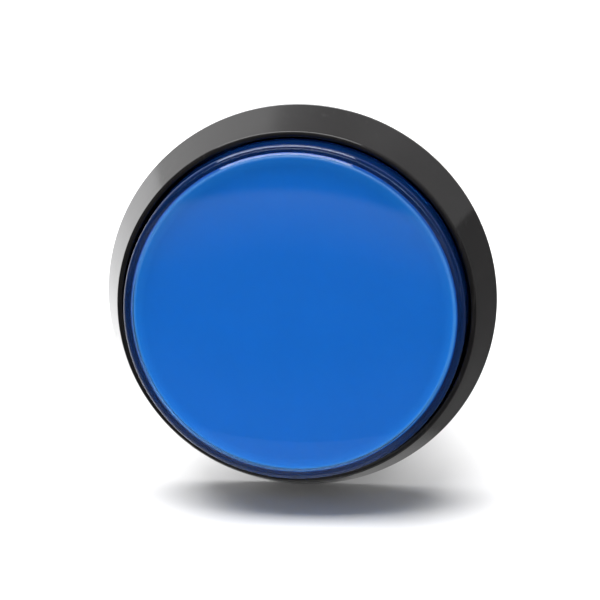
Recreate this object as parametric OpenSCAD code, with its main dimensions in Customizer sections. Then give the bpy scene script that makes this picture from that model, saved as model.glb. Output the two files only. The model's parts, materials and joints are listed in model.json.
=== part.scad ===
// Illuminated quiz buzzer: a 60 mm panel-mount push button with a tinted lens, a lamp and a
// snap-action switch. Origin: centre of the flange's underside, where it meets the panel.
// +Z points out of the panel, at the player.

/* [Bezel] */
// Outside diameter of the flange
bezel_d = 60; // [58:0.5:62]
// Outside diameter of the bezel at its front edge
bezel_front_d = 55.1; // [54.9:0.1:55.4]
// Height of the bezel above the panel
bezel_h = 9; // [8.8:0.1:9.6]
// Diameter of the well that the lens moves in
well_d = 53.4; // [53.2:0.1:53.8]
// Number of stiffening ribs under the flange
flange_ribs = 16; // [8:2:24]

/* [Lens] */
// Outside diameter of the lens cap
lens_d = 52.4; // [52:0.1:52.6]
// Height of the lens above the bezel's edge at rest
lens_rise = 4.2; // [4.1:0.1:4.6]
// Thickness of the lens's side wall
lens_wall = 1.3; // [1.1:0.1:1.4]
// Thickness of the lens's face
lens_face = 1.6; // [1.2:0.1:1.7]
// Height of the crown of the lens's face
lens_crown = 0.35; // [0.1:0.05:0.6]

/* [Barrel] */
// Outside diameter of the barrel's thread
thread_d = 24; // [23.8:0.1:24]
// Pitch of the thread
thread_pitch = 2; // [2:1:2]
// Diameter of the barrel's bore
bore_d = 18.8; // [18.7:0.1:18.9]
// Length of the barrel behind the panel
barrel_len = 33; // [32.8:0.1:33.4]

/* [Travel] */
// How far the lens goes down
press_travel = 4; // [3.5:0.1:4]
// How far the switch's button goes down
switch_travel = 1.5; // [1.2:0.1:1.5]

/* [Return spring] */
// Thickness of the spring's wire
spring_wire = 0.8; // [0.6:0.1:0.8]
// Mean diameter of the spring's coil
spring_coil_d = 16.6; // [16.4:0.1:16.8]
// Number of turns
spring_turns = 8; // [6:1:10]

/* [Panel nut] */
// Width of the nut's hexagon across its flats
nut_flats = 28; // [27:0.5:30]
// Diameter of the nut's flange
nut_flange_d = 34; // [33:0.5:36]
// Height of the nut
nut_h = 8; // [7:0.5:8]

/* [Switch] */
// Length of the switch's case
switch_l = 27.8; // [27.5:0.1:28]
// Height of the switch's case
switch_h = 15.9; // [15.8:0.1:16.2]
// Width of the switch's case
switch_w = 10.3; // [10:0.1:10.3]
// Width of the switch's tabs
tab_w = 4.8; // [4:0.1:4.8]
// Thickness of every tab
tab_t = 0.5; // [0.4:0.1:0.6]

/* [Hidden] */
$fn = 96;
eps = 0.01;
black = [0.06, 0.06, 0.065];
metal = [0.75, 0.74, 0.70];

// Bezel and well
bezel_r = bezel_d / 2;
front_r = bezel_front_d / 2;
well_r = well_d / 2;
well_floor = 3.2;
recess_depth = 1.2;
recess_outer_r = 27.3;
boss_r = 14;
rib_t = 1.2;

// Barrel, from the panel down
bore_r = bore_d / 2;
thread_r = thread_d / 2;
root_r = thread_r - 1.15;
thread_top = -2.2;
thread_turns = 12;
thread_end = thread_top - thread_turns * thread_pitch;
ledge_top = -27;
ledge_t = 2;
ledge_r = 7.6;
key_w = 2.6;
key_r = 10.1;
key_bottom = -12.6;

// Bayonet between the barrel's tail and the lamp holder
nub_w = 1.8;
nub_top = -29.6;
nub_h = 1.8;
nub_inner_r = 9.7;
nub_gap = 0.3;
bayonet_turn = 30;
slot_half_angle = 7;

// Lens, diffuser and plunger at rest
lens_r = lens_d / 2;
lens_top = bezel_h + lens_rise;
lens_bottom = well_floor + press_travel + 0.2;
face_edge_r = lens_r - 1.75;
face_round = 0.3;
lens_step = 0.4;
shoulder_round = 0.6;
clip_count = 4;
plate_r = lens_r - lens_wall - 0.2;
plate_top = lens_top - lens_face - 1.5;
plate_t = 1.5;
diffuser_t = 1.4;
stem_r = 9.1;
stem_inner_r = 7.7;
tube_r = 7.2;
tube_inner_r = 5.8;
shoulder_z = -8;
hook_r = 8.3;
hook_top = ledge_top - ledge_t - 0.1;
hook_bottom = -30.8;
leg_half_w = 1.6;

// Switch, beside and below the lamp socket
switch_top = -43.5;
switch_bottom = switch_top - switch_h;
switch_y = -6.7;
switch_left = -9.2;
switch_right = switch_left + switch_l;
switch_front = switch_y - switch_w / 2;
switch_back = switch_y + switch_w / 2;
switch_wall = 1.5;
cover_t = 1.35;
button_rise = 2.2;
button_l = 3.2;
button_w = 4.8;
leg_bottom = switch_top + button_rise - switch_travel + press_travel + 0.05;
peg_r = 1.5;
peg_hole_r = 1.55;
peg_places = [[switch_left + 2.8, switch_top - 2.8], [switch_right - 2.8, switch_bottom + 2.8]];
tab_len = 6.4;
common_x = -2.5;
blade_z = -47.72;
blade_t = 0.25;
blade_bead_r = 0.35;
contact_x = 13;
contact_gap = 1;
rivet_r = 1.5;
rivet_h = 0.55;
closed_z = -46.15;
open_z = -52.65;
open_step_x = 15.5;

// Lamp holder
collar_r = 13.6;
collar_inner_r = 11.15;
collar_top = -27.5;
floor_top = -35.6;
floor_bottom = -38;
grip_ribs = 24;
socket_bottom = -43.2;
socket_half_l = 6.6;
socket_front = -3.2;
socket_back = 3.4;
mount_plate_back = 0.2;

// Lamp
lamp_r = 4.9;
lamp_bottom = floor_top + 0.05;
lamp_top = -23.5;
wedge_half_l = 4.6;
wedge_half_t = 1.25;
wedge_bottom = -42;
led_r = 2.5;
led_shoulder = -18.5;
lead_x = 2.9;
lead_r = 0.22;
contact_w = 2.8;
contact_y = 1.7;
contact_reach = 7.2;
contact_shelf = -43.7;
contact_end = -52.5;

// Points on an arc, from angle a0 to a1
function arc(cx, cy, r, a0, a1, n = 8) =
    [for (i = [0:n]) [cx + r * cos(a0 + (a1 - a0) * i / n), cy + r * sin(a0 + (a1 - a0) * i / n)]];

// Flanks and crests of the thread, from its lower end up
function thread_outline() =
    [for (i = [thread_turns - 1:-1:0])
        for (p = [[root_r, 0.95], [thread_r, 0.62], [thread_r, 0.38], [root_r, 0.05]])
            [p[0], thread_top - (i + p[1]) * thread_pitch]];

// A block between two corners
module block(low, high) {
    translate(low) cube(high - low);
}

// A ring with square edges
module ring(outer, inner, bottom, top) {
    difference() {
        translate([0, 0, bottom]) cylinder(r = outer, h = top - bottom);
        translate([0, 0, bottom - 1]) cylinder(r = inner, h = top - bottom + 2);
    }
}

// The switch and its cradle are drawn with their side tabs to the right and fitted with them left
module fit_switch() {
    mirror([1, 0, 0]) children();
}

// The part of a ring between two angles
module ring_sector(outer, inner, bottom, top, from, to) {
    translate([0, 0, bottom])
        rotate([0, 0, from])
            rotate_extrude(angle = to - from)
                translate([inner, 0]) square([outer - inner, top - bottom]);
}

// Flared bezel, well and threaded barrel, moulded in one piece
module housing() {
    profile = concat(
        [
            [well_r, bezel_h - 0.15], [well_r, well_floor], [bore_r, well_floor],
            [bore_r, ledge_top], [ledge_r, ledge_top], [ledge_r, ledge_top - ledge_t],
            [bore_r, ledge_top - ledge_t], [bore_r, -barrel_len],
            [root_r - 0.4, -barrel_len], [root_r, -barrel_len + 0.4], [root_r, thread_end],
        ],
        thread_outline(),
        [[root_r, 0]],
        arc(bezel_r - 0.5, 0.5, 0.5, -90, 0),
        [[bezel_r, 1.1]],
        arc(front_r - 0.32, bezel_h - 0.3, 0.3, 15, 90),
        [[well_r + 0.15, bezel_h]]
    );
    color(black)
        difference() {
            rotate_extrude() polygon(profile);
            flange_pockets();
            for (side = [0, 180])
                rotate([0, 0, side]) {
                    block([0, -key_w / 2, key_bottom], [key_r, key_w / 2, well_floor + 1]);
                    bayonet_slot();
                }
        }
}

// Pockets between the ribs on the flange's underside
module flange_pockets() {
    difference() {
        ring(recess_outer_r, boss_r, -1, recess_depth);
        for (i = [0:flange_ribs - 1])
            rotate([0, 0, i * 360 / flange_ribs])
                block([boss_r - 1, -rib_t / 2, -2], [recess_outer_r + 1, rib_t / 2, recess_depth + 1]);
    }
}

// L-shaped slot in the barrel's tail for one of the lamp holder's nubs
module bayonet_slot() {
    low = nub_top - nub_h - nub_gap;
    ring_sector(root_r + 1, bore_r - 1, low, nub_top + nub_gap,
        -slot_half_angle, bayonet_turn + slot_half_angle);
    ring_sector(root_r + 1, bore_r - 1, -barrel_len - 1, nub_top + nub_gap,
        bayonet_turn - slot_half_angle, bayonet_turn + slot_half_angle);
}

// Tinted cap: a slightly crowned face that stands a step above the edge's shoulder, a side wall, and
// four clips that hold the plunger's plate
module lens_cap() {
    edge_top = lens_top - lens_crown;
    shoulder_top = edge_top - lens_step;
    crown = [for (i = [0:6]) [face_edge_r * i / 6, lens_top - lens_crown * pow(i / 6, 3)]];
    profile = concat(
        [[0, lens_top - lens_face]],
        crown,
        arc(face_edge_r, edge_top - face_round, face_round, 84, 12, 6),
        [[face_edge_r + face_round + 0.05, shoulder_top]],
        arc(lens_r - shoulder_round, shoulder_top - shoulder_round, shoulder_round, 90, 0),
        [
            [lens_r, lens_bottom + 0.3], [lens_r - 0.3, lens_bottom],
            [lens_r - lens_wall, lens_bottom], [lens_r - lens_wall, lens_top - lens_face],
        ]
    );
    color([0.05, 0.25, 0.75, 0.6]) {
        union() {
            rotate_extrude() polygon(profile);
            for (i = [0:clip_count - 1])
                ring_sector(lens_r - lens_wall + 0.3, plate_r - 0.4, lens_bottom + 0.1, lens_bottom + 1,
                    i * 360 / clip_count + 39, i * 360 / clip_count + 51);
        }
    }
}

// White disc under the lens, which spreads the lamp's light
module diffuser_disc() {
    color([0.93, 0.93, 0.92])
        translate([0, 0, plate_top + 0.05]) cylinder(r = plate_r, h = diffuser_t);
}

// Carrier for the lens, with a hollow stem, two hooked arms and the leg that works the switch
module plunger() {
    color([0.10, 0.10, 0.11])
        difference() {
            union() {
                translate([0, 0, plate_top - plate_t]) cylinder(r = plate_r, h = plate_t);
                translate([0, 0, shoulder_z]) cylinder(r = stem_r, h = plate_top - shoulder_z - 0.5);
                translate([0, 0, hook_bottom]) cylinder(r = tube_r, h = shoulder_z - hook_bottom + 1);
                for (i = [0:5])
                    rotate([0, 0, i * 60 + 30])
                        block([stem_r - 1, -0.6, plate_top - plate_t - 0.9],
                            [plate_r - 1.6, 0.6, plate_top - 0.5]);
                for (side = [0, 180]) {
                    rotate([0, 0, side])
                        block([stem_r - 1, -key_w / 2 + 0.2, shoulder_z],
                            [key_r - 0.25, key_w / 2 - 0.2, plate_top - 1]);
                    ring_sector(hook_r, tube_r - 0.6, hook_bottom, hook_top, side - 25, side + 25);
                }
                intersection() {
                    ring(tube_r, tube_inner_r, leg_bottom, hook_bottom + 2);
                    block([-leg_half_w, -10, leg_bottom - 1], [leg_half_w, 0, hook_bottom + 3]);
                }
            }
            translate([0, 0, leg_bottom - 1]) cylinder(r = tube_inner_r, h = shoulder_z - leg_bottom + 4);
            translate([0, 0, shoulder_z + 1.4]) cylinder(r = stem_inner_r, h = plate_top - shoulder_z);
            translate([0, 0, plate_top - 1.1])
                cylinder(r1 = stem_inner_r, r2 = stem_inner_r + 3.3, h = 1.1 + eps);
            for (angle = [34, -34, 146, -146])
                rotate([0, 0, angle])
                    block([tube_inner_r - 1, -0.6, hook_bottom - 1],
                        [tube_r + 0.6, 0.6, hook_bottom + 11]);
        }
}

// Centre line and cross-section of the return spring
spring_low = ledge_top + 0.02;
spring_high = shoulder_z - 0.02;
spring_steps = 24;
spring_sides = 8;
end_rise = 0.05;
function spring_rise(t) = let (end_turn = 1 / spring_turns)
    t < end_turn ? end_rise * t / end_turn
    : t > 1 - end_turn ? 1 - end_rise * (1 - t) / end_turn
    : end_rise + (1 - 2 * end_rise) * (t - end_turn) / (1 - 2 * end_turn);
function spring_point(t, side) =
    let (
        angle = t * spring_turns * 360,
        around = side * 360 / spring_sides,
        r = spring_coil_d / 2 + spring_wire / 2 * cos(around),
        span = spring_high - spring_low - spring_wire,
        z = spring_low + spring_wire / 2 + span * spring_rise(t) + spring_wire / 2 * sin(around)
    )
    [r * cos(angle), r * sin(angle), z];

// Coil spring round the stem's lower half, between the ledge and the stem's shoulder
module return_spring() {
    rings = spring_turns * spring_steps;
    points = [for (i = [0:rings]) for (s = [0:spring_sides - 1]) spring_point(i / rings, s)];
    walls = [for (i = [0:rings - 1]) for (s = [0:spring_sides - 1])
        let (n = (s + 1) % spring_sides, a = i * spring_sides, b = a + spring_sides)
        [a + s, b + s, b + n, a + n]];
    first = [for (s = [0:spring_sides - 1]) s];
    last = [for (s = [spring_sides - 1:-1:0]) rings * spring_sides + s];
    color([0.78, 0.78, 0.80])
        polyhedron(points, concat(walls, [first, last]), convexity = 10);
}

// Flanged hexagonal nut, halfway along its thread
module panel_nut() {
    nut_top = -8;
    flange_t = 1.6;
    bore = thread_r + 0.1;
    color([0.07, 0.07, 0.075])
        difference() {
            union() {
                translate([0, 0, nut_top - flange_t]) cylinder(d = nut_flange_d, h = flange_t);
                intersection() {
                    translate([0, 0, nut_top - nut_h])
                        cylinder(d = nut_flats / cos(30), h = nut_h, $fn = 6);
                    translate([0, 0, nut_top - nut_h])
                        cylinder(r1 = nut_flats / 2 + 0.6, r2 = nut_flats / 2 + 0.6 + nut_h, h = nut_h);
                }
            }
            translate([0, 0, nut_top - nut_h - 1]) cylinder(r = bore, h = nut_h + 2);
            translate([0, 0, nut_top - nut_h - eps]) cylinder(r1 = bore + 0.7, r2 = bore, h = 0.7);
        }
}

// Twist-on holder: collar, floor with the lamp's socket, and the cradle for the switch
module lamp_holder() {
    color([0.085, 0.085, 0.09]) {
        difference() {
            union() {
                translate([0, 0, floor_bottom]) cylinder(r = collar_r, h = collar_top - floor_bottom);
                for (i = [0:grip_ribs - 1])
                    rotate([0, 0, (i + 0.5) * 360 / grip_ribs])
                        block([collar_r - 1, -0.6, floor_bottom], [collar_r + 0.5, 0.6, collar_top - 1.5]);
                block([-socket_half_l, socket_front, socket_bottom],
                    [socket_half_l, socket_back, floor_bottom + 1]);
                fit_switch() switch_cradle();
            }
            translate([0, 0, floor_top]) cylinder(r = collar_inner_r, h = collar_top - floor_top + 1);
            block([-wedge_half_l - 0.15, -wedge_half_t - 0.15, wedge_bottom - 0.6],
                [wedge_half_l + 0.15, contact_y + tab_t + 0.1, floor_top + 1]);
            for (side = [-1, 1])
                block([side * lead_x - contact_w / 2 - 0.05, contact_y, socket_bottom - 1],
                    [side * lead_x + contact_w / 2 + 0.05, contact_y + tab_t, floor_top]);
            ring_sector(tube_r + 0.4, tube_inner_r - 0.4, floor_bottom - 1, floor_top + 1,
                270 - 18 - bayonet_turn, 270 + 18);
        }
        for (side = [0, 180])
            rotate([0, 0, side])
                block([nub_inner_r, -nub_w / 2, nub_top - nub_h],
                    [collar_inner_r + 0.6, nub_w / 2, nub_top]);
    }
}

// Plate with two pegs that the switch is pressed on, and a stop at the switch's end
module switch_cradle() {
    outline = [
        [switch_left - 1.7, floor_bottom + 1], [collar_r - 2, floor_bottom + 1],
        [switch_right - 0.4, switch_top], [switch_right - 0.4, switch_bottom + 0.6],
        [switch_right - 6.5, switch_bottom + 0.6], [switch_left + 6, switch_top - 9],
        [switch_left - 1.7, switch_top - 9],
    ];
    translate([0, mount_plate_back, 0])
        rotate([90, 0, 0])
            linear_extrude(mount_plate_back - switch_back - 0.05) polygon(outline);
    block([switch_left - 1.7, switch_y, switch_top - 9],
        [switch_left - 0.15, mount_plate_back, floor_bottom + 1]);
    for (p = peg_places)
        translate([p[0], switch_back + 0.5, p[1]])
            rotate([90, 0, 0]) cylinder(r = peg_r, h = switch_w);
}

// Plastic body of the wedge-base lamp, hollow round its resistor
module lamp_base() {
    color([0.90, 0.90, 0.88])
        difference() {
            union() {
                translate([0, 0, lamp_bottom]) cylinder(r = lamp_r, h = lamp_top - lamp_bottom);
                block([-wedge_half_l, -wedge_half_t, wedge_bottom],
                    [wedge_half_l, wedge_half_t, lamp_bottom + 1]);
            }
            translate([0, 0, lamp_bottom + 2]) cylinder(r = lamp_r - 1.1, h = lamp_top - lamp_bottom - 3.5);
            translate([0, 0, lamp_top - 2]) cylinder(r = led_r + 0.02, h = 3);
        }
}

// Clear five-millimetre light-emitting diode, seated in the lamp's body
module lamp_led() {
    color([0.85, 0.90, 1.0, 0.7])
        union() {
            translate([0, 0, lamp_top - 1.5]) cylinder(r = led_r, h = led_shoulder - lamp_top + 1.5);
            translate([0, 0, led_shoulder]) sphere(r = led_r);
        }
}

// Resistor inside the lamp's body
module lamp_resistor() {
    color([0.80, 0.68, 0.48])
        translate([0, 0, lamp_bottom + 2.6]) cylinder(r = 0.9, h = 5.5);
}

// Two wires folded up the lamp's wedge
module lamp_leads() {
    color(metal)
        for (side = [-1, 1])
            translate([side * lead_x, 0, 0])
                union() {
                    translate([0, wedge_half_t + lead_r, wedge_bottom - 0.3])
                        cylinder(r = lead_r, h = 4.5, $fn = 24);
                    translate([0, 0, wedge_bottom - lead_r - 0.02])
                        rotate([-90, 0, 0]) cylinder(r = lead_r, h = wedge_half_t + lead_r, $fn = 24);
                }
}

// Spring strip in the lamp's socket, with a tab for a push-on connector
module lamp_contact(side) {
    x = side * lead_x;
    low = x - contact_w / 2;
    high = x + contact_w / 2;
    color(metal)
        difference() {
            union() {
                block([low, contact_y, contact_shelf - tab_t], [high, contact_y + tab_t, floor_top - 1]);
                block([low, contact_y, contact_shelf - tab_t], [high, contact_reach, contact_shelf]);
                block([low, contact_reach - tab_t, contact_end], [high, contact_reach, contact_shelf]);
            }
            translate([x, contact_reach + 1, contact_end + 2.4])
                rotate([90, 0, 0]) cylinder(r = 0.6, h = 3);
        }
}

// Half of the switch's body, open at the front
module switch_case() {
    cavity_low = switch_bottom + switch_wall;
    cavity_high = switch_top - switch_wall;
    join = switch_front + cover_t;
    color([0.05, 0.05, 0.055])
        difference() {
            block([switch_left, join, switch_bottom], [switch_right, switch_back, switch_top]);
            difference() {
                block([switch_left + switch_wall, join - 1, cavity_low],
                    [switch_right - switch_wall, switch_back - switch_wall, cavity_high]);
                for (p = peg_places)
                    translate([p[0], switch_back, p[1]])
                        rotate([90, 0, 0]) cylinder(r = peg_hole_r + 1.25, h = switch_w);
            }
            peg_holes();
            block([-button_l / 2 - 0.15, switch_y - button_w / 2 - 0.15, cavity_high - 1],
                [button_l / 2 + 0.15, switch_y + button_w / 2 + 0.15, switch_top + 1]);
            block([switch_right - 3, switch_y - tab_w / 2, closed_z - tab_t / 2],
                [switch_right + 1, switch_y + tab_w / 2, closed_z + tab_t / 2]);
            block([switch_right - 3, switch_y - tab_w / 2, open_z - tab_t / 2],
                [switch_right + 1, switch_y + tab_w / 2, open_z + tab_t / 2]);
            block([common_x - tab_t / 2, switch_y - tab_w / 2, switch_bottom - 1],
                [common_x + tab_t / 2, switch_y + tab_w / 2, cavity_low + 1]);
        }
}

// Holes through the switch for the cradle's pegs
module peg_holes() {
    for (p = peg_places)
        translate([p[0], switch_back + 1, p[1]])
            rotate([90, 0, 0]) cylinder(r = peg_hole_r, h = switch_w + 2);
}

// Cover of the switch, with a raised frame round its edge
module switch_cover() {
    join = switch_front + cover_t;
    color([0.07, 0.07, 0.075])
        difference() {
            block([switch_left, switch_front, switch_bottom], [switch_right, join, switch_top]);
            difference() {
                block([switch_left + 1.2, switch_front - 1, switch_bottom + 1.2],
                    [switch_right - 1.2, switch_front + 0.3, switch_top - 1.2]);
                for (p = peg_places)
                    translate([p[0], join, p[1]])
                        rotate([90, 0, 0]) cylinder(r = peg_hole_r + 1, h = cover_t);
            }
            peg_holes();
        }
}

// Button of the switch, with a flange that keeps it in the case
module switch_button() {
    top = switch_top + button_rise;
    flange_top = switch_top - switch_wall - 0.1;
    color([0.75, 0.10, 0.08])
        union() {
            block([-button_l / 2, switch_y - button_w / 2, flange_top - 0.8],
                [button_l / 2, switch_y + button_w / 2, top]);
            block([-button_l / 2 - 0.8, switch_y - button_w / 2 - 0.6, flange_top - 0.8],
                [button_l / 2 + 0.8, switch_y + button_w / 2 + 0.6, flange_top]);
        }
}

// Common tab, which carries the blade on its upper end
module terminal_common() {
    color(metal)
        difference() {
            block([common_x - tab_t / 2, switch_y - tab_w / 2, switch_bottom - tab_len],
                [common_x + tab_t / 2, switch_y + tab_w / 2, blade_z - blade_bead_r - 0.05]);
            translate([common_x - 1, switch_y, switch_bottom - tab_len + 2.3])
                rotate([0, 90, 0]) cylinder(r = 0.7, h = 2);
        }
}

// Hole in a side tab
module side_tab_hole(z) {
    translate([switch_right + tab_len - 2.3, switch_y, z - 1]) cylinder(r = 0.7, h = 2);
}

// Tab that the blade meets when the button is down
module terminal_normally_open() {
    low = switch_y - tab_w / 2;
    high = switch_y + tab_w / 2;
    seat = blade_z - rivet_h - contact_gap - rivet_h;
    color(metal)
        difference() {
            union() {
                block([open_step_x, low, open_z - tab_t / 2],
                    [switch_right + tab_len, high, open_z + tab_t / 2]);
                block([open_step_x, low, open_z - tab_t / 2],
                    [open_step_x + tab_t, high, seat - 0.03]);
                block([contact_x - 2, low, seat - 0.03 - tab_t],
                    [open_step_x + tab_t, high, seat - 0.03]);
            }
            side_tab_hole(open_z);
        }
}

// Tab that the blade rests against when the button is up
module terminal_normally_closed() {
    color(metal)
        difference() {
            block([contact_x - 2, switch_y - tab_w / 2, closed_z - tab_t / 2],
                [switch_right + tab_len, switch_y + tab_w / 2, closed_z + tab_t / 2]);
            side_tab_hole(closed_z);
        }
}

// Silver rivets on the two fixed terminals
module fixed_contacts() {
    closed_face = blade_z + rivet_h + 0.03;
    open_seat = blade_z - rivet_h - contact_gap - rivet_h - 0.03;
    color([0.85, 0.85, 0.86]) {
        translate([contact_x, switch_y, closed_face])
            cylinder(r = rivet_r, h = closed_z - tab_t / 2 - closed_face);
        translate([contact_x, switch_y, open_seat]) cylinder(r = rivet_r, h = rivet_h);
    }
}

// Springy strip that snaps between the fixed contacts, on a bead where it turns on the common tab
module contact_blade() {
    color([0.72, 0.50, 0.30])
        difference() {
            union() {
                block([common_x - 0.6, switch_y - 2, blade_z - blade_t / 2],
                    [contact_x + 2, switch_y + 2, blade_z + blade_t / 2]);
                translate([common_x, switch_y + 2, blade_z])
                    rotate([90, 0, 0]) cylinder(r = blade_bead_r, h = 4);
            }
            block([0.8, switch_y - 0.9, blade_z - 1], [8.5, switch_y + 0.9, blade_z + 1]);
            translate([contact_x, switch_y, blade_z - 1]) cylinder(r = rivet_r - 0.5, h = 2);
        }
}

// Double-faced rivet at the blade's free end
module moving_contact() {
    color([0.85, 0.85, 0.86])
        translate([contact_x, switch_y, blade_z])
            union() {
                cylinder(r = rivet_r - 0.5, h = 2 * rivet_h, center = true);
                translate([0, 0, blade_t / 2]) cylinder(r = rivet_r, h = rivet_h - blade_t / 2);
                translate([0, 0, -rivet_h]) cylinder(r = rivet_r, h = rivet_h - blade_t / 2);
            }
}

housing();
lens_cap();
diffuser_disc();
plunger();
return_spring();
panel_nut();
lamp_holder();
lamp_base();
lamp_led();
lamp_resistor();
lamp_leads();
lamp_contact(1);  // lamp_contact_positive
lamp_contact(-1);  // lamp_contact_negative
fit_switch() switch_case();
fit_switch() switch_cover();
fit_switch() switch_button();
fit_switch() terminal_common();
fit_switch() terminal_normally_open();
fit_switch() terminal_normally_closed();
fit_switch() fixed_contacts();
fit_switch() contact_blade();
fit_switch() moving_contact();
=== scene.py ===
"""Looks of the illuminated quiz buzzer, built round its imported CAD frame.

Outlines and sizes are in millimetres, in the frame's own axes, where +Z is the press axis, out of the panel.
Positions of lights and the camera are in metres.
"""

import json
import math

import bmesh
import bpy
from mathutils import Matrix, Vector


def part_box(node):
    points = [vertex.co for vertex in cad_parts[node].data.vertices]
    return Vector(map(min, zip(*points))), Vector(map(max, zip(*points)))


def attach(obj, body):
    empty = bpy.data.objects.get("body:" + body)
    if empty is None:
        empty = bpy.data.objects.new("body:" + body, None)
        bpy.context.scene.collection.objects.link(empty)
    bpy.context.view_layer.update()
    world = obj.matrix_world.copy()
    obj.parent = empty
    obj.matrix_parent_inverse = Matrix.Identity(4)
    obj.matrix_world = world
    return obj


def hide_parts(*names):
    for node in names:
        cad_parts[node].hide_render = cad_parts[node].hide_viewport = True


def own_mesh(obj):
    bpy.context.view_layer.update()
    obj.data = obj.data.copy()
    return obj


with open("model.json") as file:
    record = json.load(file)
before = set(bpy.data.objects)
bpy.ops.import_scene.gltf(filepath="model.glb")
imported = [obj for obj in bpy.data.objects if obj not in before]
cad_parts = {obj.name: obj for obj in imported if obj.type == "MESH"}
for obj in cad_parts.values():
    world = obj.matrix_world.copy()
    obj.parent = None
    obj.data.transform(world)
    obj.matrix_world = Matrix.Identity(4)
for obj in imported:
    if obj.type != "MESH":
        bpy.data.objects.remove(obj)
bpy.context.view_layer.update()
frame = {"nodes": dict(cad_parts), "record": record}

MM = 0.001
EPS = 0.01
STEPS = 288
WELD = 1e-6
BEVEL_WELD = 3e-6
TAU = 2 * math.pi
FLAT = math.radians(0.4)


def box_mm(node):
    """A CAD node's lowest and highest corner, in millimetres."""
    low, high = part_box(node)
    return low / MM, high / MM


# ---------------------------------------------------------------- sizes taken from the frame

housing_low, housing_high = box_mm("housing")
lens_low, lens_high = box_mm("lens_cap")
disc_low, disc_high = box_mm("diffuser_disc")
nut_low, nut_high = box_mm("panel_nut")
spring_low, spring_high = box_mm("return_spring")
cover_low = box_mm("switch_cover")[0]

BEZEL_R = housing_high.x
BEZEL_H = housing_high.z
FLARE_FOOT = 1.1
FRONT_R = BEZEL_R - 2.45
WELL_R = BEZEL_R - 3.3
WELL_FLOOR = BEZEL_H - 5.8
POCKET_OUTER_R = BEZEL_R - 2.7
POCKET_INNER_R = 14.0
POCKET_DEPTH = 1.2
RIBS = 16
RIB_HALF = 0.6

BARREL_END = housing_low.z
THREAD_R = 12.0
ROOT_R = 10.85
BORE_R = 9.4
PITCH = 2.0
THREAD_TOP = -2.2
THREAD_END = -26.2
THREAD_ROW = 0.1
LEDGE_TOP = spring_low.z
LEDGE_T = 2.0
LEDGE_R = 7.6
KEY_HALF = 1.3
KEY_R = 10.1
KEY_BOTTOM = -12.6
BAYONET_TOP = -29.3
BAYONET_LOW = -31.7
BAYONET_ENTRY_TOP = -31.0
BAYONET_ENTRY = 23
BAYONET_START = -7
BAYONET_END = 37

LENS_R = lens_high.x
LENS_WALL = 1.3
LENS_FACE = 1.6
LENS_CROWN = 0.35
CROWN_POINTS = 24
LENS_STEP = 0.4
FACE_R = LENS_R - 1.45
CLIP_HALF_TURN = 6

NUT_FLATS = 28.0
NUT_FLANGE_T = 1.6
NUT_BORE_R = THREAD_R + 0.1
NUT_GROOVE = 0.9
NUT_ROW = 0.15

SPRING_TURNS = 8
SPRING_SIDES = 14
SPRING_STEPS = 40
WIRE_R = 0.4


# ---------------------------------------------------------------- materials

def add(tree, kind, inputs=(), **settings):
    """A new node with its settings and its inputs, each a value or another node's output."""
    node = tree.nodes.new(kind)
    for key, value in settings.items():
        setattr(node, key, value)
    for key, value in dict(inputs).items():
        if isinstance(value, bpy.types.NodeSocket):
            tree.links.new(value, node.inputs[key])
        else:
            node.inputs[key].default_value = value
    return node


def place(tree, stretch=(1, 1, 1)):
    """The point in the object's own space, stretched."""
    point = add(tree, "ShaderNodeTexCoord").outputs["Object"]
    return add(tree, "ShaderNodeMapping", {"Vector": point, "Scale": stretch}).outputs["Vector"]


def component(tree, vector, axis):
    """How far the vector reaches along the axis."""
    inputs = {0: vector, 1: axis}
    return add(tree, "ShaderNodeVectorMath", inputs, operation="DOT_PRODUCT").outputs["Value"]


def noise(tree, size_mm, detail=3.0, stretch=(1, 1, 1), rough=0.55):
    """Noise from 0 to 1 whose features are about size_mm across."""
    point = place(tree, stretch)
    inputs = {"Vector": point, "Scale": 1 / (size_mm * MM), "Detail": detail, "Roughness": rough}
    return add(tree, "ShaderNodeTexNoise", inputs).outputs["Fac"]


def spread(tree, value, low, high, start=0.3, end=0.7):
    """value, from start to end, mapped to low to high."""
    inputs = {"Value": value, "From Min": start, "From Max": end, "To Min": low, "To Max": high}
    return add(tree, "ShaderNodeMapRange", inputs).outputs["Result"]


def blend_colours(tree, share, first, second):
    """Two colours mixed by share."""
    node = add(tree, "ShaderNodeMix", data_type="RGBA")
    tree.links.new(share, node.inputs["Factor"])
    for socket, colour in (("A", first), ("B", second)):
        wanted = [s for s in node.inputs if s.name == socket and s.type == "RGBA"][0]
        if isinstance(colour, bpy.types.NodeSocket):
            tree.links.new(colour, wanted)
        else:
            wanted.default_value = (*colour, 1)
    return [s for s in node.outputs if s.type == "RGBA"][0]


def bump(tree, height, depth_mm):
    """A normal bumped by height, in the range 0 to 1, over depth_mm."""
    inputs = {"Height": height, "Distance": depth_mm * MM, "Strength": 1.0}
    return add(tree, "ShaderNodeBump", inputs).outputs["Normal"]


def start_material(name):
    """A material with one Principled shader."""
    made = bpy.data.materials.new(name)
    made.use_nodes = True
    return made, made.node_tree, made.node_tree.nodes["Principled BSDF"]


def link(tree, shader, **sockets):
    """Links outputs to the shader's sockets; underscores in a name stand for spaces."""
    for key, value in sockets.items():
        tree.links.new(value, shader.inputs[key.replace("_", " ")])


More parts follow.
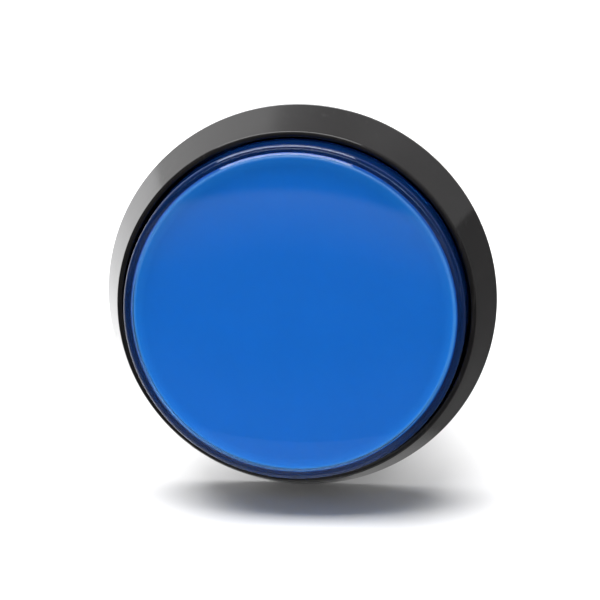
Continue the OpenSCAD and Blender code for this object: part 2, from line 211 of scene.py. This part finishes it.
def moulded(name, dark, light, rough=(0.3, 0.45), grain_mm=0.25, grain_depth=0.004, patch_mm=9.0, scuffs=0.0,
            shine=0.5):
    """Moulded plastic: slow colour drift, uneven gloss, a fine grain, and fine scuffs."""
    made, tree, shader = start_material(name)
    patches = noise(tree, patch_mm, 4)
    colour = blend_colours(tree, spread(tree, patches, 0, 1), dark, light)
    gloss = spread(tree, noise(tree, patch_mm / 3, 5), rough[0], rough[1])
    normal = bump(tree, noise(tree, grain_mm, 2), grain_depth)
    if scuffs:
        marks = spread(tree, noise(tree, 0.5, 3, stretch=(1, 0.06, 0.25)), 0, 1, 0.62, 0.72)
        colour = blend_colours(tree, spread(tree, marks, 0, scuffs, 0, 1), colour, (0.10, 0.10, 0.105))
        gloss = add(tree, "ShaderNodeMath", {0: gloss, 1: spread(tree, marks, 0, 0.12, 0, 1)}).outputs[0]
    link(tree, shader, Base_Color=colour, Roughness=gloss, Normal=normal)
    shader.inputs["Specular IOR Level"].default_value = shine
    return made


def metal(name, dark, light, rough=(0.22, 0.38), patch_mm=2.5, brushed=(1, 1, 1), depth=0.002):
    """Metal strip or wire: tarnish in patches, rolled streaks and uneven gloss."""
    made, tree, shader = start_material(name)
    tarnish = noise(tree, patch_mm, 4)
    streaks = noise(tree, 0.25, 2, stretch=brushed)
    colour = blend_colours(tree, spread(tree, tarnish, 0, 1), dark, light)
    gloss = spread(tree, streaks, rough[0], rough[1])
    link(tree, shader, Base_Color=colour, Roughness=gloss, Normal=bump(tree, streaks, depth))
    shader.inputs["Metallic"].default_value = 1
    return made


# The share of a lamp's light that the lens's rim lets through.
RIM_PASSES = 0.1


def clear(name, tint, haze, rings=(), rough=(0.01, 0.035), ior=1.49):
    """Tinted clear plastic with a little haze, which lets lamps light what lies behind it.

    rings are tints painted further out, each with its radius in mm: the paler rings at the face's edge are a
    painted highlight, and the deeper tint at the rim is partly the deeper colour of thicker plastic and
    partly painted shade.
    """
    made, tree, shader = start_material(name)
    shader.inputs["Base Color"].default_value = (*tint, 1)
    # Painted by radius: the paler rings paint a highlight round the face's edge, and the deepest ring paints
    # shade at the rim.
    if rings:
        point = place(tree)
        flat = add(tree, "ShaderNodeVectorMath", {0: point, 1: (1, 1, 0)}, operation="MULTIPLY").outputs[0]
        radius = add(tree, "ShaderNodeVectorMath", {0: flat}, operation="LENGTH").outputs["Value"]
        reach = rings[-1][0]
        ramp = add(tree, "ShaderNodeValToRGB", {"Fac": spread(tree, radius, 0, 1, 0, reach * MM)})
        stops = ramp.color_ramp.elements
        stops[0].color = (*tint, 1)
        stops[1].color = (*rings[-1][1], 1)
        for at, colour in rings[:-1]:
            stops.new(at / reach).color = (*colour, 1)
        link(tree, shader, Base_Color=ramp.outputs["Color"])
    shader.inputs["Transmission Weight"].default_value = 1 - haze
    shader.inputs["IOR"].default_value = ior
    smears = noise(tree, 6.0, 5, rough=0.6)
    ripple = bump(tree, noise(tree, 5.0, 2), 0.003)
    link(tree, shader, Roughness=spread(tree, smears, rough[0], rough[1]), Normal=ripple)
    shadow = add(tree, "ShaderNodeLightPath").outputs["Is Shadow Ray"]
    passed = tuple(math.sqrt(c) for c in tint)
    through = add(tree, "ShaderNodeBsdfTransparent", {"Color": (*passed, 1)})
    if rings:
        inside = spread(tree, radius, 1, RIM_PASSES, rings[-2][0] * MM, rings[-1][0] * MM)
        lit = add(tree, "ShaderNodeVectorMath", {0: passed, "Scale": inside}, operation="SCALE").outputs[0]
        tree.links.new(lit, through.inputs["Color"])
    shaders = {1: shader.outputs["BSDF"], 2: through.outputs["BSDF"]}
    mixed = add(tree, "ShaderNodeMixShader", {0: shadow, **shaders})
    tree.links.new(mixed.outputs["Shader"], tree.nodes["Material Output"].inputs["Surface"])
    return made


def resistor_paint():
    """Tan lacquer with four plain colour rings."""
    made, tree, shader = start_material("resistor_coat")
    low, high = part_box("lamp_resistor")
    height = add(tree, "ShaderNodeSeparateXYZ", {"Vector": place(tree)}).outputs["Z"]
    along = spread(tree, height, 0, 1, low.z, high.z)
    ramp = add(tree, "ShaderNodeValToRGB", {"Fac": along})
    ramp.color_ramp.interpolation = "CONSTANT"
    tan = (0.62, 0.48, 0.30)
    ring_width = 0.09
    rings = (
        (0.18, (0.25, 0.10, 0.04)), (0.36, (0.02, 0.02, 0.02)),
        (0.54, (0.45, 0.03, 0.02)), (0.78, (0.5, 0.35, 0.08)),
    )
    ramp.color_ramp.elements[0].color = (*tan, 1)
    ramp.color_ramp.elements[1].position = 1.0
    ramp.color_ramp.elements[1].color = (*tan, 1)
    for at, colour in rings:
        ramp.color_ramp.elements.new(at).color = (*colour, 1)
        ramp.color_ramp.elements.new(at + ring_width).color = (*tan, 1)
    link(tree, shader, Base_Color=ramp.outputs["Color"], Roughness=spread(tree, noise(tree, 0.8), 0.3, 0.45),
         Normal=bump(tree, noise(tree, 0.3), 0.004))
    return made


BLUE = (0.045, 0.34, 0.745)
# The pale and edge blues paint a highlight ring round the lens face's edge; the rim blue is partly the
# deeper colour of thicker plastic and partly painted shade.
HIGHLIGHT_RISE_BLUE = (0.06, 0.41, 0.84)
EDGE_HIGHLIGHT_BLUE = (0.24, 0.62, 0.98)
RIM_SHADE_BLUE = (0.013, 0.11, 0.47)

materials = {
    "black_bezel": moulded("black_bezel", (0.0045, 0.0039, 0.0042), (0.0075, 0.0068, 0.0071),
                           rough=(0.07, 0.13), grain_mm=1.6, grain_depth=0.0012, scuffs=0.05),
    # The lens's tint by radius paints a highlight ring at the face's edge and painted shade at its rim.
    "blue_lens": clear("blue_lens", tint=BLUE, haze=0.12, ior=1.43, rings=(
        (FACE_R - 1.9, BLUE), (FACE_R - 0.55, HIGHLIGHT_RISE_BLUE), (FACE_R - 0.26, EDGE_HIGHLIGHT_BLUE),
        (FACE_R - 0.05, EDGE_HIGHLIGHT_BLUE), (FACE_R + 0.15, RIM_SHADE_BLUE))),
    "white_diffuser": moulded("white_diffuser", (0.84, 0.86, 0.88), (0.90, 0.91, 0.92), rough=(0.35, 0.5),
                              grain_mm=0.4, grain_depth=0.003),
    "black_nylon": moulded("black_nylon", (0.010, 0.010, 0.011), (0.017, 0.017, 0.018), rough=(0.40, 0.55),
                           grain_mm=0.22, grain_depth=0.010, scuffs=0.2, shine=0.32),
    "spring_steel": metal("spring_steel", (0.42, 0.42, 0.43), (0.62, 0.62, 0.63), rough=(0.18, 0.34)),
    "white_lamp": moulded("white_lamp", (0.72, 0.71, 0.67), (0.82, 0.81, 0.78), rough=(0.28, 0.4)),
    "clear_epoxy": clear("clear_epoxy", tint=(0.90, 0.95, 0.98), haze=0.02, ior=1.53),
    "resistor_coat": resistor_paint(),
    "tinned_wire": metal("tinned_wire", (0.48, 0.48, 0.47), (0.66, 0.66, 0.65), brushed=(1, 1, 0.1)),
    "tinned_brass": metal("tinned_brass", (0.50, 0.47, 0.38), (0.70, 0.69, 0.64), brushed=(0.1, 1, 1)),
    "switch_body": moulded("switch_body", (0.008, 0.008, 0.009), (0.014, 0.014, 0.015), rough=(0.30, 0.45),
                           grain_mm=0.3, grain_depth=0.006, scuffs=0.15, shine=0.35),
    "switch_red": moulded("switch_red", (0.42, 0.018, 0.014), (0.52, 0.028, 0.02), rough=(0.25, 0.35)),
    "silver_contact": metal("silver_contact", (0.70, 0.69, 0.67), (0.86, 0.85, 0.83)),
    "phosphor_bronze": metal("phosphor_bronze", (0.46, 0.25, 0.12), (0.62, 0.38, 0.20), brushed=(0.1, 1, 1)),
}


# ---------------------------------------------------------------- shapes

def rounded(corners, steps=6):
    """A closed outline from (a, b, radius) corners, with an arc at each corner that has a radius."""
    points = []
    count = len(corners)
    for i, (a, b, radius) in enumerate(corners):
        here = Vector((a, b))
        if radius <= 0:
            points.append((a, b))
            continue
        back = Vector(corners[i - 1][:2]) - here
        ahead = Vector(corners[(i + 1) % count][:2]) - here
        room = min(back.length, ahead.length) * 0.49
        half = back.angle(ahead) / 2
        reach = min(radius / math.tan(half), room)
        radius = reach * math.tan(half)
        centre = here + (back.normalized() + ahead.normalized()).normalized() * (radius / math.sin(half))
        start = here + back.normalized() * reach - centre
        turn = start.angle_signed(here + ahead.normalized() * reach - centre)
        for k in range(steps + 1):
            arm = Matrix.Rotation(-turn * k / steps, 2) @ start
            points.append(tuple(centre + arm))
    return points


def weld(work, reach=WELD):
    """Joins points in the same place and removes the faces without area that this leaves."""
    bmesh.ops.remove_doubles(work, verts=work.verts, dist=reach)
    bmesh.ops.dissolve_degenerate(work, edges=work.edges, dist=reach)


def solid(name, points, faces):
    """A closed mesh object from points in millimetres."""
    mesh = bpy.data.meshes.new(name)
    mesh.from_pydata([tuple(c * MM for c in p) for p in points], [], faces)
    work = bmesh.new()
    work.from_mesh(mesh)
    weld(work)
    bmesh.ops.recalc_face_normals(work, faces=work.faces)
    work.to_mesh(mesh)
    work.free()
    made = bpy.data.objects.new(name, mesh)
    bpy.context.scene.collection.objects.link(made)
    return made


def revolve(name, outline, shape=None, steps=STEPS):
    """The closed (r, z) outline turned round Z. shape(angle, r, z) may move each point's r."""
    points = []
    for i in range(steps):
        angle = TAU * i / steps
        for r, z in outline:
            wide = shape(angle, r, z) if shape else r
            points.append((wide * math.cos(angle), wide * math.sin(angle), z))
    n = len(outline)
    faces = [(i * n + j, (i + 1) % steps * n + j, (i + 1) % steps * n + (j + 1) % n, i * n + (j + 1) % n)
             for i in range(steps) for j in range(n)]
    return solid(name, points, faces)


def prism(name, outline, low, high):
    """A closed (x, y) outline raised from low to high."""
    n = len(outline)
    points = [(x, y, z) for z in (low, high) for x, y in outline]
    faces = [(i, (i + 1) % n, n + (i + 1) % n, n + i) for i in range(n)]
    faces += [tuple(range(n))[::-1], tuple(range(n, 2 * n))]
    return solid(name, points, faces)


def sector(name, inner, outer, low, high, start, end, steps=24):
    """Part of a ring, between two angles in degrees."""
    angles = [math.radians(start + (end - start) * i / steps) for i in range(steps + 1)]
    outline = [(outer * math.cos(a), outer * math.sin(a)) for a in angles]
    outline += [(inner * math.cos(a), inner * math.sin(a)) for a in reversed(angles)]
    return prism(name, outline, low, high)


def block(name, low, high):
    """A box between two corners."""
    outline = [(low[0], low[1]), (high[0], low[1]), (high[0], high[1]), (low[0], high[1])]
    return prism(name, outline, low[2], high[2])


def settle(piece):
    """Applies the piece's modifiers to its mesh."""
    shown = piece.evaluated_get(bpy.context.evaluated_depsgraph_get())
    mesh = bpy.data.meshes.new_from_object(shown)
    work = bmesh.new()
    work.from_mesh(mesh)
    weld(work)
    work.to_mesh(mesh)
    work.free()
    piece.modifiers.clear()
    piece.data = mesh
    return piece


def combine(piece, tools, operation="DIFFERENCE"):
    """Cuts the tools from the piece, or joins them to it, and removes them."""
    for tool in tools:
        step = piece.modifiers.new("combine", "BOOLEAN")
        step.object = tool
        step.operation = operation
        step.solver = "MANIFOLD"
    settle(piece)
    for tool in tools:
        bpy.data.objects.remove(tool)
    return piece


def soften(piece, offset, sharp_degrees=40, segments=2):
    """Rounds the piece's sharp edges by offset, in millimetres."""
    work = bmesh.new()
    work.from_mesh(piece.data)
    weld(work)
    bmesh.ops.dissolve_limit(work, angle_limit=FLAT, verts=work.verts, edges=work.edges)
    sharp = [e for e in work.edges if e.is_manifold and e.calc_face_angle(0) > math.radians(sharp_degrees)]
    bmesh.ops.bevel(work, geom=sharp, offset=offset * MM, offset_type="OFFSET", segments=segments,
                    profile=0.6, affect="EDGES", clamp_overlap=False)
    weld(work, BEVEL_WELD)
    work.to_mesh(piece.data)
    work.free()
    return piece


def copy_of(node):
    """A new piece with a CAD node's mesh."""
    made = bpy.data.objects.new(node + "_shape", frame["nodes"][node].data.copy())
    made.data.materials.clear()
    bpy.context.scene.collection.objects.link(made)
    return made


slots = {row["node"]: row["material_slot"] for row in frame["record"]["subparts"]}
bodies = frame["record"]["behaviour"]["bodies"]
body_of = {node: body for body, nodes in bodies.items() for node in nodes}


def finish_piece(piece, node, crease_degrees=35):
    """Gives the piece its node's material, slot and body, smooth faces, and the node's place."""
    piece.name = node + "_shape"
    piece.data.name = piece.name
    piece.data.materials.clear()
    piece.data.materials.append(materials[slots[node]])
    piece.data.polygons.foreach_set("use_smooth", [True] * len(piece.data.polygons))
    piece.data.set_sharp_from_angle(angle=math.radians(crease_degrees))
    even = piece.modifiers.new("even_normals", "WEIGHTED_NORMAL")
    even.keep_sharp = True
    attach(piece, body_of[node])
    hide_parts(node)
    return piece


# Where the thread's flank meets its root, and how wide the flank is, as shares of half a pitch.
FLANK_FOOT = 0.88
FLANK_RUN = 0.66


def thread_height(angle, z, top, end, lead=1.2):
    """How far up its flank a right-hand thread stands at a point, from 0 at the root to 1 at the crest."""
    phase = abs((z / PITCH - angle / TAU) % 1 - 0.5) * 2
    flank = min(max((FLANK_FOOT - phase) / FLANK_RUN, 0), 1)
    runout = min(max((top - z) / lead, 0), max((z - end) / lead, 0), 1)
    return flank * flank * (3 - 2 * flank) * runout


# ---------------------------------------------------------------- housing

def rows(low, high, step):
    """Heights from high down to low."""
    count = round((high - low) / step)
    return [high - (high - low) * i / count for i in range(1, count)]


def pocket(start, end):
    """One hollow between two ribs under the flange, as a solid."""
    low, high = math.radians(start), math.radians(end)
    outline = []
    for r, first, last in ((POCKET_OUTER_R, low, high), (POCKET_INNER_R, high, low)):
        side = math.asin(RIB_HALF / r)
        inset = side if first < last else -side
        for i in range(11):
            a = first + inset + (last - first - 2 * inset) * i / 10
            outline.append((r * math.cos(a), r * math.sin(a)))
    made = prism("pocket", outline, -1, POCKET_DEPTH)
    return soften(made, 0.35, sharp_degrees=60, segments=4)


def make_housing():
    """Flared bezel, well and threaded barrel in one moulding."""
    flare = rounded([
        (BORE_R, WELL_FLOOR, 0.3), (WELL_R, WELL_FLOOR, 0.8), (WELL_R, BEZEL_H, 0.22),
        (FRONT_R, BEZEL_H, 0.16), (BEZEL_R, FLARE_FOOT, 0.5), (BEZEL_R, 0, 0.5), (ROOT_R, 0, 0.25),
    ])
    thread = [(ROOT_R, z) for z in rows(THREAD_END, THREAD_TOP, THREAD_ROW)]
    tail = rounded([
        (ROOT_R, BARREL_END, 0.5), (BORE_R, BARREL_END, 0.3), (BORE_R, LEDGE_TOP - LEDGE_T, 0.2),
        (LEDGE_R, LEDGE_TOP - LEDGE_T, 0.3), (LEDGE_R, LEDGE_TOP, 0.3), (BORE_R, LEDGE_TOP, 0.2),
    ])

    def shape(angle, r, z):
        if r < ROOT_R - EPS or not THREAD_END < z < THREAD_TOP:
            return r
        return r + (THREAD_R - ROOT_R) * thread_height(angle, z, THREAD_TOP, THREAD_END)

    made = revolve("housing", flare + thread + tail, shape)
    turn = 360 / RIBS
    tools = [pocket(i * turn, (i + 1) * turn) for i in range(RIBS)]
    inner, outer = BORE_R - 1, ROOT_R + 1.5
    for side, low, high in ((0, 0, KEY_R), (180, -KEY_R, 0)):
        start, entry, end = side + BAYONET_START, side + BAYONET_ENTRY, side + BAYONET_END
        tools.append(sector("slot", inner, outer, BAYONET_LOW, BAYONET_TOP, start, end))
        tools.append(sector("slot", inner, outer, BARREL_END - 1, BAYONET_ENTRY_TOP, entry, end))
        tools.append(block("key_way", (low, -KEY_HALF, KEY_BOTTOM), (high, KEY_HALF, WELL_FLOOR + 1)))
    return finish_piece(combine(made, tools), "housing")


# ---------------------------------------------------------------- lens and diffuser

def make_lens():
    """Clear cap: a slightly crowned face a step above its shoulder, a side wall and four clips."""
    edge_top = lens_high.z - LENS_CROWN
    shoulder_top = edge_top - LENS_STEP
    inner_r = LENS_R - LENS_WALL
    roof = lens_high.z - LENS_FACE
    crown_r = FACE_R - 0.45
    crown = [(crown_r * i / CROWN_POINTS, lens_high.z - LENS_CROWN * (i / CROWN_POINTS) ** 3)
             for i in range(CROWN_POINTS)]
    crown_slope = 3 * LENS_CROWN / crown_r
    corner_z = edge_top - crown_slope * (FACE_R - crown_r)
    rim_and_wall = rounded([
        (crown_r, edge_top, 0), (FACE_R, corner_z, 0.27), (FACE_R + 0.3, shoulder_top, 0.16),
        (LENS_R, shoulder_top, 0.55), (LENS_R, lens_low.z, 0.3), (inner_r, lens_low.z, 0.25),
        (inner_r, roof, 0.3), (0, roof, 0),
    ])
    made = revolve("lens_cap", crown + rim_and_wall)
    clips = [sector("clip", inner_r - 0.6, inner_r + 0.3, lens_low.z + 0.1, lens_low.z + 1.0,
                    middle - CLIP_HALF_TURN, middle + CLIP_HALF_TURN)
             for middle in (45, 135, 225, 315)]
    return finish_piece(combine(made, clips, "UNION"), "lens_cap")


def make_diffuser():
    """White disc that spreads the lamp's light."""
    outline = rounded([
        (0, disc_low.z, 0), (disc_high.x, disc_low.z, 0.25), (disc_high.x, disc_high.z, 0.3),
        (0, disc_high.z, 0),
    ])
    return finish_piece(revolve("diffuser_disc", outline), "diffuser_disc")


# ---------------------------------------------------------------- nut and spring

def make_nut():
    """Flanged hexagonal nut with turned corners and a threaded bore."""
    half_flats = NUT_FLATS / 2
    corner_r = half_flats / math.cos(TAU / 12) - 0.25
    flange_low = nut_high.z - NUT_FLANGE_T
    bore = NUT_BORE_R
    outer = rounded([
        (bore, nut_high.z, 0.3), (nut_high.x, nut_high.z, 0.4), (nut_high.x, flange_low, 0.5),
        (corner_r, flange_low, 0.3),
    ])
    hexagon = [(corner_r, z) for z in rows(nut_low.z, flange_low - 0.35, NUT_ROW)]
    inner = [(corner_r, nut_low.z), (bore, nut_low.z)]
    thread = [(bore, z) for z in reversed(rows(nut_low.z, nut_high.z - 0.35, THREAD_ROW))]

    def shape(angle, r, z):
        if r < bore + EPS:
            groove = thread_height(angle, z, nut_high.z - 0.3, nut_low.z + 0.3)
            flare = max(0.7 - (z - nut_low.z), 0)
            return max(bore + NUT_GROOVE * groove, bore + flare)
        if r > corner_r + EPS or z > flange_low:
            return r
        across = half_flats / math.cos((angle + TAU / 12) % (TAU / 6) - TAU / 12)
        chamfer = half_flats + 0.6 + (z - nut_low.z)
        return min(across, corner_r, chamfer)

    return finish_piece(revolve("panel_nut", outer + hexagon + inner + thread, shape), "panel_nut", 28)


def make_spring():
    """Compression spring with closed ends."""
    coil = spring_high.x - WIRE_R
    closed_rise = 0.05
    low, high = spring_low.z + WIRE_R, spring_high.z - WIRE_R

    def rise(t):
        dead = 1 / SPRING_TURNS
        if t < dead:
            return closed_rise * t / dead
        if t > 1 - dead:
            return 1 - closed_rise * (1 - t) / dead
        return closed_rise + (1 - 2 * closed_rise) * (t - dead) / (1 - 2 * dead)

    points = []
    n = SPRING_SIDES
    rings = SPRING_TURNS * SPRING_STEPS
    for i in range(rings + 1):
        angle = TAU * SPRING_TURNS * i / rings
        z = low + (high - low) * rise(i / rings)
        for k in range(n):
            a = TAU * k / n
            r = coil + WIRE_R * math.cos(a)
            points.append((r * math.cos(angle), r * math.sin(angle), z + WIRE_R * math.sin(a)))
    faces = [(i * n + k, (i + 1) * n + k, (i + 1) * n + (k + 1) % n, i * n + (k + 1) % n)
             for i in range(rings) for k in range(n)]
    faces += [tuple(range(n)), tuple(rings * n + k for k in reversed(range(n)))]
    made = finish_piece(solid("return_spring", points, faces), "return_spring", 60)
    made.modifiers.clear()
    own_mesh(made)
    return made


# ---------------------------------------------------------------- pieces that keep the frame's shape

edge_radius = {
    "plunger": 0.15, "lamp_holder": 0.15, "lamp_base": 0.2, "lamp_led": 0.05, "lamp_resistor": 0.15,
    "lamp_leads": 0.04, "lamp_contact_positive": 0.07, "lamp_contact_negative": 0.07, "switch_case": 0.2,
    "switch_cover": 0.2, "switch_button": 0.25, "terminal_common": 0.07, "terminal_normally_open": 0.07,
    "terminal_normally_closed": 0.07, "fixed_contacts": 0.1, "contact_blade": 0.05, "moving_contact": 0.1,
}


def make_dressed():
    """The pieces whose CAD shape is kept, with their edges rounded."""
    for node, radius in edge_radius.items():
        finish_piece(soften(copy_of(node), radius), node)


make_housing()
make_lens()
make_diffuser()
make_nut()
make_spring()
make_dressed()


# ---------------------------------------------------------------- floor, light and camera

# The button lies on its bezel's rim and the corner of its switch, tail away from the camera.
rim = Vector((0, -BEZEL_R, 0.4)) * MM
heel = Vector((0, cover_low.y, cover_low.z)) * MM
along_floor = (rim - heel).normalized()
up = Vector((0, along_floor.z, -along_floor.y))
right = Vector((1, 0, 0))


def floor_material():
    """Pale table top, seen only from above. Reflections see painted shade on it: dark on the right and
    dimmer ahead.
    """
    made, tree, shader = start_material("table_top")
    patches = spread(tree, noise(tree, 60, 4), 0, 1)
    colour = blend_colours(tree, patches, (0.76, 0.76, 0.765), (0.80, 0.80, 0.805))

    def reach(axis, start, end, most):
        """How much painted shade the floor takes on between two distances in mm along an axis."""
        along = component(tree, place(tree), axis)
        return spread(tree, along, 0, most, start * MM, end * MM)

    # Painted shade for reflections only: the floor darkens to the right of the button and ahead of it.
    shade_on_right, ahead = reach(right, 8, 24, 1.0), reach(along_floor, 12, 110, 0.85)
    dark = add(tree, "ShaderNodeMath", {0: shade_on_right, 1: ahead}, operation="MAXIMUM").outputs[0]
    mirrored = add(tree, "ShaderNodeLightPath").outputs["Is Glossy Ray"]
    share = add(tree, "ShaderNodeMath", {0: mirrored, 1: dark}, operation="MULTIPLY").outputs[0]
    # Reflected rays see the floor blended towards a painted shade of 0.06 grey.
    colour = blend_colours(tree, share, colour, (0.06, 0.06, 0.06))
    link(tree, shader, Base_Color=colour, Roughness=spread(tree, noise(tree, 25, 4), 0.40, 0.50))
    shader.inputs["Specular IOR Level"].default_value = 0.3
    under = add(tree, "ShaderNodeNewGeometry").outputs["Backfacing"]
    through = add(tree, "ShaderNodeBsdfTransparent").outputs["BSDF"]
    mixed = add(tree, "ShaderNodeMixShader", {0: under, 1: shader.outputs["BSDF"], 2: through})
    tree.links.new(mixed.outputs["Shader"], tree.nodes["Material Output"].inputs["Surface"])
    return made


def make_floor(half=1.75, ahead=-1.25, gap=0.00003):
    """A large one-sided plane under the object and behind it."""
    mesh = bpy.data.meshes.new("floor")
    middle = rim - up * gap + along_floor * ahead
    mesh.from_pydata([middle + right * x * half + along_floor * y * half
                      for x, y in ((-1, -1), (1, -1), (1, 1), (-1, 1))], [], [(0, 1, 2, 3)])
    mesh.materials.append(floor_material())
    made = bpy.data.objects.new("floor", mesh)
    bpy.context.scene.collection.objects.link(made)
    if mesh.polygons[0].normal.dot(up) < 0:
        mesh.flip_normals()


def softbox(name, place_at, size, power):
    """A rectangular lamp that points at the object and isn't seen itself."""
    data = bpy.data.lights.new(name, "AREA")
    data.shape = "RECTANGLE"
    data.size, data.size_y = size
    data.energy = power
    made = bpy.data.objects.new(name, data)
    made.location = place_at
    made.rotation_mode = "QUATERNION"
    made.rotation_quaternion = (-place_at).to_track_quat("-Z", "Y")
    made.visible_camera = False
    bpy.context.scene.collection.objects.link(made)


# Each is a list of directions, as the cosine to its axis, with the room's grey level there.
FRONT_WALL = (
    (-0.1, 0.2), (0.0, 0.16), (0.04, 0.06), (0.07, 0.09),
    (0.116, 0.6), (0.121, 0.02), (0.5, 0.08), (0.9, 0.2),
)
BACK_WALL = ((-0.1, 1.0), (0.45, 1.0), (0.6, 0.4), (0.9, 0.3))
LEFT_TO_RIGHT = ((-1.0, 0.9), (-0.27, 1.0), (-0.18, 0.72), (0.5, 0.42), (1.0, 0.35))
BACKDROP = (0.8, 0.8, 0.8)
SKY = 1.25


def make_world():
    """A pale room, bright behind the button, with a dark wall before it that the lens mirrors."""
    world = bpy.data.worlds.new("room")
    bpy.context.scene.world = world
    world.use_nodes = True
    tree = world.node_tree
    ray = add(tree, "ShaderNodeTexCoord").outputs["Generated"]

    def levels(axis, stops):
        """The grey level of each direction, from the stops along an axis."""
        facing = component(tree, ray, axis)
        low, high = stops[0][0], stops[-1][0]
        ramp = add(tree, "ShaderNodeValToRGB", {"Fac": spread(tree, facing, 0, 1, low, high)})
        elements = ramp.color_ramp.elements
        elements[0].color = (stops[0][1],) * 3 + (1,)
        elements[1].color = (stops[-1][1],) * 3 + (1,)
        for at, grey in stops[1:-1]:
            elements.new((at - low) / (high - low)).color = (grey, grey, grey, 1)
        return ramp.outputs["Color"]

    front = levels(up, FRONT_WALL)
    back = levels(up, BACK_WALL)
    sides = levels(right, LEFT_TO_RIGHT)
    back = add(tree, "ShaderNodeVectorMath", {0: back, 1: sides}, operation="MULTIPLY").outputs[0]
    near = levels(along_floor, ((-0.1, 0), (0.4, 1)))
    seen = add(tree, "ShaderNodeLightPath").outputs["Is Camera Ray"]
    level = blend_colours(tree, seen, blend_colours(tree, near, back, front), BACKDROP)
    sky = tree.nodes["Background"]
    tree.links.new(level, sky.inputs["Color"])
    sky.inputs["Strength"].default_value = SKY


def make_camera(distance=1.2, lens=470):
    """A camera a little to the right of the button's axis and above it."""
    back = Vector((0.109, 0.240, 0.965)).normalized()
    roughly_up = Vector((-0.0225, 0.9745, -0.223))
    aim = Vector((0, 0, 4)) * MM
    side = roughly_up.cross(back).normalized()
    turn = Matrix((side, back.cross(side), back)).transposed()
    data = bpy.data.cameras.new("camera")
    data.lens = lens
    data.clip_end = 20
    camera = bpy.data.objects.new("camera", data)
    camera.matrix_world = Matrix.Translation(aim + back * distance) @ turn.to_4x4()
    bpy.context.scene.collection.objects.link(camera)
    bpy.context.scene.camera = camera


make_floor()
make_world()
softbox("overhead", up * 2.4 - along_floor * 0.55 - right * 0.4, (2.8, 2.2), 170)
softbox("front", up * 0.42 + along_floor * 1.1, (0.7, 0.35), 2.3)
make_camera()
bpy.context.scene.view_settings.view_transform = "Standard"
